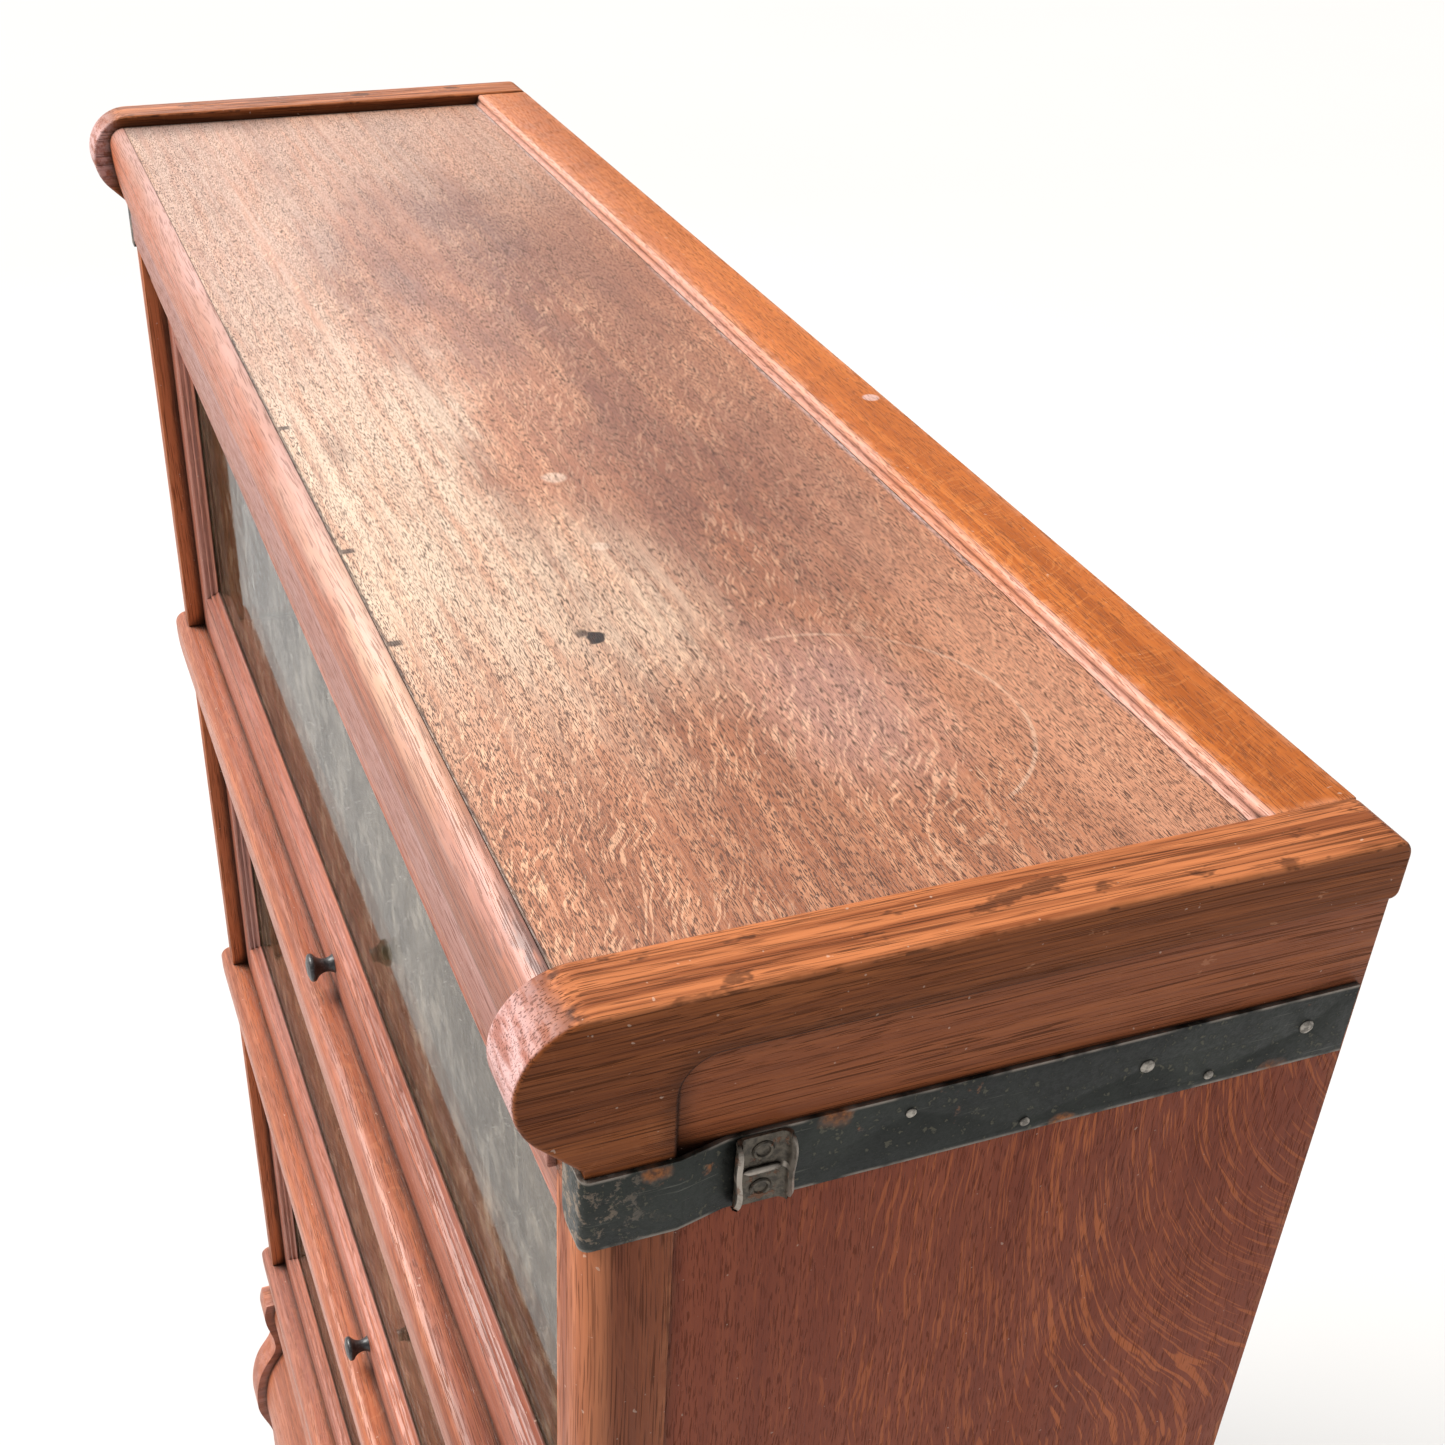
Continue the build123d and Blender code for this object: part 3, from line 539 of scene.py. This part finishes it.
def clip_steel_finish(name, seats):
    """Bare pressed steel, dark on the plate; its lips and middle bar are rubbed bright and carry a painted
    highlight.
    """
    g = Graph(name)
    fine = g.noise(g.place, 500, 4, 0.6)
    colour = g.mix(g.step(fine, 0.35, 0.65), (62, 56, 48), (104, 96, 84))
    x, _, z = g.split(g.place)
    out = g.math("ABSOLUTE", x)
    # lips and middle bar: rubbed, and painted bright as a highlight where they sit in shade
    _, face, crest = seats[0]
    rubbed_and_highlight = g.step(out, face + (crest - face) * 0.40, face + (crest - face) * 0.80)
    for middle, face, _ in seats:
        near = g.apart(z, middle.z + BAR_LIFT)
        bar = g.times(g.step(near, 1.3 * MM, 0.7 * MM), g.step(out, face + 1.2 * MM, face + 1.8 * MM))
        rubbed_and_highlight = g.larger(rubbed_and_highlight, bar)
    rubbed_and_highlight = g.times(rubbed_and_highlight, g.patches(g.place, 160, 3, 0.6, 0.30, 0.52, 0.35, 1.0))
    colour = g.coat(colour, (186, 176, 164), rubbed_and_highlight, 0.85)
    rust = g.patches(g.place, 170, 4, 0.65, 0.58, 0.66)
    colour = g.coat(colour, (128, 78, 46), rust, 0.6)
    # dirt and painted shade in the corners where pieces meet
    colour = g.coat(colour, (26, 18, 14), g.grime_and_shade(0.003), 0.7)
    rough = g.plus(g.times(rust, 0.25), g.step(fine, 0.2, 0.8, 0.34, 0.58))
    metal = g.step(rust, 0.3, 0.0, 0.2, 0.55)
    return g.finish(colour, rough, g.plus(fine, rust), 0.0003, 0.6, Metallic=metal)


def plain_metal(name, dark, light, roughness, metallic):
    g = Graph(name)
    fine = g.noise(g.place, 500, 4, 0.6)
    colour = g.mix(g.step(fine, 0.35, 0.65), dark, light)
    # dirt and painted shade in the corners where pieces meet
    colour = g.coat(colour, (30, 18, 14), g.grime_and_shade(0.003), 0.7)
    rough = g.step(fine, 0.2, 0.8, roughness - 0.1, roughness + 0.15)
    return g.finish(colour, rough, fine, 0.0003, 0.5, Metallic=metallic)


def knob_black(name):
    g = Graph(name)
    fine = g.noise(g.place, 700, 3, 0.6)
    colour = g.mix(g.step(fine, 0.45, 0.75), (32, 32, 34), (66, 64, 66))
    return g.finish(colour, g.step(fine, 0.2, 0.8, 0.32, 0.52), fine, 0.0002, 0.4, Coat_Weight=0.15)


def old_glass(name):
    """Drawn glass that mirrors its surroundings, with a film of dust and a few dried runs; the olive dust
    colour and its blots are partly a painted reflection of a mottled yard.
    """
    g = Graph(name)
    film = g.times(g.patches(g.place, (26, 26, 12), 5, 0.65, 0.40, 0.75), 0.4)
    specks = g.times(g.patches(g.place, 260, 3, 0.7, 0.58, 0.70), 0.6)
    blots_and_reflection = g.times(g.patches(g.place, 75, 4, 0.6, 0.50, 0.64), 0.50)
    runs = g.times(g.patches(g.place, (110, 110, 9), 3, 0.6, 0.60, 0.70), 0.4)
    dust = g.smaller(g.plus(film, specks, blots_and_reflection, runs), 1.0)
    # olive dust colour: dust, and a painted reflection of a stony yard
    colour = g.mix(dust, (70, 58, 41), (128, 113, 86))
    seen = g.plus(0.36, g.times(dust, 0.30))
    rough = g.plus(0.02, g.times(dust, 0.08))
    return g.finish(colour, rough, IOR=1.55, Specular_IOR_Level=0.6, Alpha=seen)


# ---------------------------------------------------------------- pieces

EASE = 0.6 * MM             # rounding of a wooden edge
FINE_EASE = 0.3 * MM        # of the small bead and the knobs
BAND_EASE = 0.25 * MM
PIN_EASE = 0.2 * MM
WELD = 1e-6                 # vertices closer than this are one

CLIP_THICK = 1.1 * MM
CLIP_BEND = 2.2 * MM        # radius where a flange leaves the plate
CLIP_FLARE = 0.3 * MM
CLIP_WAVE = 0.35 * MM
CLIP_STEPS = 18
RIVET_RISE = 7 * MM         # rivets above and below the middle of a clip
RIVET = ((3.2, 0), (3.3, 0.7), (2.9, 1.1), (2.2, 1.0), (1.8, 0.3), (0.9, 0.5), (0.2, 0.6))  # radius, height
BAR_RADIUS = 1.15 * MM
BAR_STEPS = 8
BAR_SIDES = 10

ROUND_SIDES = 18            # of rivets and nails
NAIL_RISE = 0.9 * MM
NAIL_FOOT = 0.1 * MM
NAIL_SINK = 0.3 * MM
NAIL_STEPS = 7

GLAZING_WIDE = 7.5 * MM
GLAZING_STEPS = 6
GLAZING_PLAY = 0.2 * MM
GLAZING_LIFT = 0.1 * MM     # clear of the glass


def object_from(work, name, smooth):
    """Turns a bmesh into an object, shaded smooth across angles of less than smooth degrees."""
    mesh = bpy.data.meshes.new(name)
    work.to_mesh(mesh)
    work.free()
    for polygon in mesh.polygons:
        polygon.use_smooth = True
    mesh.set_sharp_from_angle(angle=math.radians(smooth))
    piece = bpy.data.objects.new(name, mesh)
    bpy.context.scene.collection.objects.link(piece)
    return piece


def welded(node):
    """A CAD node's mesh with its vertices joined."""
    work = bmesh.new()
    work.from_mesh(NODES[node].data)
    bmesh.ops.remove_doubles(work, verts=work.verts, dist=WELD)
    return work


def stand_for(node, material, round_by):
    """Shows a copy of a CAD node with its sharp edges eased."""
    work = welded(node)
    bmesh.ops.dissolve_limit(work, angle_limit=math.radians(0.4), verts=work.verts, edges=work.edges)
    sharp = [e for e in work.edges if len(e.link_faces) == 2 and e.calc_face_angle(0) > math.radians(32)]
    if sharp and round_by:
        bmesh.ops.bevel(work, geom=sharp, offset=round_by, offset_type="OFFSET", segments=2,
                        profile=0.5, affect="EDGES", clamp_overlap=True)
    bmesh.ops.triangulate(work, faces=[f for f in work.faces if len(f.verts) > 4])
    piece = object_from(work, node + "_worn", 30)
    piece.data.materials.append(material)
    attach(piece, BODY_OF[node])
    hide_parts(node)


def made(name, work, material, body, node=None):
    """Adds a piece built here, in place of a CAD node or beside the CAD."""
    bmesh.ops.recalc_face_normals(work, faces=work.faces)
    piece = object_from(work, name, 35)
    piece.data.materials.append(material)
    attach(piece, body)
    if node:
        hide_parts(node)


def grain_of(node):
    """Long axis of a board, and for an upright one the axis across its face."""
    low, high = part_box(node)
    size = high - low
    if node.startswith(("top_end", "base_end")):
        return "y"
    if node.startswith(("side_", "post_")):
        return "z"
    if "stile" in node:
        return "zx"
    if size.x > size.z:
        return "xz" if size.z > size.y else "x"
    return "z"


def islands(node):
    """The lowest and highest corners of each separate solid of a CAD node."""
    work = welded(node)
    todo, boxes = set(work.verts), []
    while todo:
        group, front = set(), {next(iter(todo))}
        while front:
            group |= front
            front = {e.other_vert(v) for v in front for e in v.link_edges} - group
        todo -= group
        spans = [[v.co[i] for v in group] for i in range(3)]
        boxes.append((Vector(map(min, spans)), Vector(map(max, spans))))
    work.free()
    return sorted(boxes, key=lambda b: tuple(round(c, 4) for c in b[0]))


def grid_skin(work, rows, closed_rows=False):
    """Faces between closed rows of vertices."""
    for i in range(len(rows) if closed_rows else len(rows) - 1):
        a, b = rows[i], rows[(i + 1) % len(rows)]
        for j in range(len(a)):
            k = (j + 1) % len(a)
            work.faces.new((a[j], a[k], b[k], b[j]))


def close_ends(work, rows):
    work.faces.new(rows[0])
    work.faces.new(rows[-1])


def lathe(work, origin, out, profile, ragged=0.0):
    """Turns (radius, height) points round an axis along X, closing both ends."""
    rows = []
    for radius, rise in profile:
        row = []
        for i in range(ROUND_SIDES):
            a = 2 * math.pi * i / ROUND_SIDES
            r = radius * (1 + ragged * noise.noise(origin * 300 + Vector((a, rise * 900, 0))))
            row.append(work.verts.new(origin + Vector((out * rise, r * math.cos(a), r * math.sin(a)))))
        rows.append(row)
    grid_skin(work, rows)
    close_ends(work, rows)


def clip_outline(width, reach):
    """Section of a pressed U clip: up one flange, across the plate and down the other."""
    half = width / 2
    points = [(-half - CLIP_FLARE, reach), (-half, reach * 0.6)]
    for i in range(5):
        a = math.pi / 2 * i / 4
        points.append((-half + CLIP_BEND * (1 - math.cos(a)), CLIP_BEND * (1 - math.sin(a))))
    return points + [(-y, x) for y, x in reversed(points)]


def clip_plate(work, middle, width, tall, face, reach, out):
    """The bent plate: flanges that are highest in the middle of their length, wavy and worn."""
    outline = clip_outline(width - 2 * CLIP_THICK, reach - CLIP_THICK)
    rows = []
    for i in range(CLIP_STEPS + 1):
        t = 2 * i / CLIP_STEPS - 1
        crown = (1 - abs(t) ** 3.2) ** 0.45 if abs(t) < 1 else 0.0
        inner, outer = [], []
        for y, x in outline:
            lift = x * (0.30 + 0.70 * crown) if x > CLIP_BEND else x
            wave = CLIP_WAVE * math.sin(4.2 * t + 2.0 * y / width + middle.z * 9) * min(1, x / reach * 1.5)
            z = middle.z + t * tall / 2 * (1 - 0.10 * (x / reach) ** 2)
            side = 1 if y > 0 else -1
            across = middle.y + y + wave
            inner.append(work.verts.new((out * (face + CLIP_THICK + lift), across, z)))
            push = CLIP_THICK if x > 0.5 * MM else 0.0
            outer.append(work.verts.new((out * (face + max(lift, 0)), across + side * push, z)))
        rows.append(inner + outer[::-1])
    grid_skin(work, rows)
    for row in (rows[0], rows[-1]):
        for j in range(len(row) // 2 - 1):
            work.faces.new((row[j], row[j + 1], row[-2 - j], row[-1 - j]))


def clip_bar(work, middle, half, seat, out):
    """The short bar across the middle of a clip, rounded off at its ends."""
    rows = []
    for i in range(BAR_STEPS + 1):
        t = 2 * i / BAR_STEPS - 1
        r = BAR_RADIUS * max(1 - t ** 6, 0.05) ** 0.5
        row = []
        for k in range(BAR_SIDES):
            a = 2 * math.pi * k / BAR_SIDES
            row.append(work.verts.new((out * (seat + 0.6 * MM + 0.8 * r * math.cos(a)),
                                       middle.y + t * half, middle.z + BAR_LIFT + r * math.sin(a))))
        rows.append(row)
    grid_skin(work, rows)
    close_ends(work, rows)


def clips():
    """Pressed clips with curled, worn flanges, two ring rivets and a bar between them."""
    work = bmesh.new()
    for low, high in islands("joint_clips"):
        out = 1 if low.x > 0 else -1
        face = min(abs(low.x), abs(high.x))
        middle = (low + high) / 2
        width, tall = high.y - low.y, high.z - low.z
        clip_plate(work, middle, width, tall, face, abs(high.x - low.x) - 0.1 * MM, out)
        for rise in (-RIVET_RISE, RIVET_RISE):
            seat = Vector((out * (face + CLIP_THICK * 0.6), middle.y, middle.z + rise))
            lathe(work, seat, out, [(radius * MM, height * MM) for radius, height in RIVET])
        clip_bar(work, middle, width * 0.34, face + CLIP_THICK, out)
    return work


def nail_domes():
    """Hammered nail heads, a little out of round."""
    work = bmesh.new()
    for low, high in islands("band_nails"):
        out = 1 if low.x > 0 else -1
        crest = max(abs(low.x), abs(high.x))
        radius = (high.y - low.y) / 2
        origin = Vector((out * (crest - NAIL_RISE), (low.y + high.y) / 2, (low.z + high.z) / 2))
        profile = [(radius * 0.96, -NAIL_SINK), (radius, NAIL_FOOT)]
        for i in range(1, NAIL_STEPS):
            a = math.pi / 2 * i / NAIL_STEPS
            profile.append((radius * math.cos(a), NAIL_FOOT + (NAIL_RISE - NAIL_FOOT) * math.sin(a)))
        lathe(work, origin, out, profile, 0.09)
    return work


def glazing_bead(tag):
    """Quarter-round strips that hold the glass from behind, mitred at the corners."""
    low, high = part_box("door_glass_" + tag)
    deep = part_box("door_stile_left_" + tag)[1].y - high.y
    section = [(GLAZING_PLAY, GLAZING_LIFT), (GLAZING_WIDE, GLAZING_LIFT)]
    for i in range(GLAZING_STEPS + 1):
        a = math.pi / 2 * i / GLAZING_STEPS
        section.append((GLAZING_PLAY + (GLAZING_WIDE - GLAZING_PLAY) * math.cos(a),
                        1.2 * MM + (deep - 1.7 * MM) * math.sin(a)))
    work = bmesh.new()
    middle, half = (low + high) / 2, (high - low) / 2
    rows = []
    for sx, sz in ((-1, -1), (1, -1), (1, 1), (-1, 1)):
        rows.append([work.verts.new((middle.x + sx * (half.x - u), high.y + v, middle.z + sz * (half.z - u)))
                     for u, v in section])
    grid_skin(work, rows, closed_rows=True)
    return work


wooden = sorted(n for n in NODES if SLOT_OF[n].startswith("oak"))
for seed, node in enumerate(wooden, 1):
    marks = MARKS.get(node)
    changes = {}
    if node.startswith("post_"):
        marks = post_marks
    elif SLOT_OF[node] == "oak_inside":
        if node.startswith("shelf_"):
            marks = inside_marks
        else:
            changes = BACK_TONE
    wood = oak(node + "_oak", SLOT_OF[node], grain_of(node), seed, *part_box(node), marks, **changes)
    stand_for(node, wood, FINE_EASE if node == "top_bead" else EASE)

band_spans = sorted({(round(low.z, 5), round(high.z, 5)) for low, high in islands("joint_bands")})
stand_for("joint_bands", blackened_steel("blackened_steel", band_spans), BAND_EASE)

clip_seats = []
for clip_low, clip_high in islands("joint_clips"):
    face, crest = sorted((abs(clip_low.x), abs(clip_high.x)))
    clip_seats.append(((clip_low + clip_high) / 2, face, crest))
clip_steel = clip_steel_finish("clip_steel", clip_seats)
made("spring_clips", clips(), clip_steel, BODY_OF["joint_clips"], node="joint_clips")

nail_finish = plain_metal("nail_steel", (112, 106, 98), (196, 188, 176), 0.55, 0.15)
made("nail_domes", nail_domes(), nail_finish, BODY_OF["band_nails"], node="band_nails")

for tag in ("1", "2", "3"):
    bead_oak = oak("glazing_bead_" + tag, "oak_door", "x", 70 + int(tag), *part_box("door_glass_" + tag))
    made("glazing_bead_" + tag, glazing_bead(tag), bead_oak, BODY_OF["door_glass_" + tag])

FITTINGS = {
    "knob_black": (knob_black("knob_black"), FINE_EASE),
    "pin_steel": (plain_metal("pin_steel", (90, 88, 84), (150, 146, 138), 0.4, 0.9), PIN_EASE),
    "glass": (old_glass("glass"), 0.0),
}
for node in sorted(n for n in NODES if SLOT_OF[n] in FITTINGS):
    stand_for(node, *FITTINGS[SLOT_OF[node]])


# ---------------------------------------------------------------- stage, light and camera

FLOOR_SIZE = 30
FLOOR_COLOUR = (205, 205, 205)
FLOOR_SHADE = 0.985             # darker patches of the floor
WORLD_TINT = (0.97, 0.98, 1.0, 1.0)
WORLD_STRENGTH = 0.40
SUN_STRENGTH = 5.6
SUN_SPREAD = math.radians(40)
SUN_TINT = (1.0, 0.97, 0.93)
SUN_PATH = (0.40, 0.55, -0.73)
WINDOW_PLACE = (-3.0, -0.1, 2.5)
WINDOW_AIM = (0.1, -0.05, 1.2)
WINDOW_SIZE = (2.2, 1.7)
WINDOW_POWER = 24

CAMERA_PLACE = (0.75895, -0.22070, 1.56643)
CAMERA_RIGHT = (0.343264, 0.938907, 0.024952)
CAMERA_DOWN = (0.554606, -0.181181, -0.812149)
CAMERA_AHEAD = (-0.758012, 0.292621, -0.582916)
LENS_MM = 46.96
SENSOR_MM = 36
LENS_SHIFT = (0.0547, 0.0865)
LENS_NEAR = 0.02


def floor_finish():
    g = Graph("studio_floor")
    soft = g.noise(g.place, 0.7, 2)
    return g.finish(g.mix(soft, FLOOR_COLOUR, tuple(v * FLOOR_SHADE for v in FLOOR_COLOUR)), 0.9)


def light(name, kind, strength, ahead):
    """Adds a lamp that shines along a direction."""
    data = bpy.data.lights.new(name, kind)
    data.energy = strength
    lamp = bpy.data.objects.new(name, data)
    lamp.rotation_mode = "QUATERNION"
    lamp.rotation_quaternion = ahead.to_track_quat("-Z", "Y")
    bpy.context.scene.collection.objects.link(lamp)
    return lamp


bpy.ops.mesh.primitive_plane_add(size=FLOOR_SIZE, location=(0, 0, cad_low.z))
floor = bpy.context.object
floor.name = "studio_floor"
floor.data.materials.append(floor_finish())

world = bpy.data.worlds.new("studio")
bpy.context.scene.world = world
world.use_nodes = True
background = world.node_tree.nodes["Background"]
background.inputs["Color"].default_value = WORLD_TINT
background.inputs["Strength"].default_value = WORLD_STRENGTH

sun = light("key", "SUN", SUN_STRENGTH, Vector(SUN_PATH))
sun.data.angle = SUN_SPREAD
sun.data.color = SUN_TINT
window = light("left_window", "AREA", WINDOW_POWER, Vector(WINDOW_AIM) - Vector(WINDOW_PLACE))
window.location = WINDOW_PLACE
window.data.shape = "RECTANGLE"
window.data.size, window.data.size_y = WINDOW_SIZE

bpy.context.scene.view_settings.view_transform = "Standard"

lens = bpy.data.cameras.new("camera")
lens.lens = LENS_MM
lens.sensor_width = SENSOR_MM
lens.shift_x, lens.shift_y = LENS_SHIFT
lens.clip_start = LENS_NEAR
camera = bpy.data.objects.new("camera", lens)
turn = Matrix((Vector(CAMERA_RIGHT), -Vector(CAMERA_DOWN), -Vector(CAMERA_AHEAD))).transposed()
camera.matrix_world = Matrix.Translation(CAMERA_PLACE) @ turn.to_4x4()
bpy.context.scene.collection.objects.link(camera)
bpy.context.scene.camera = camera
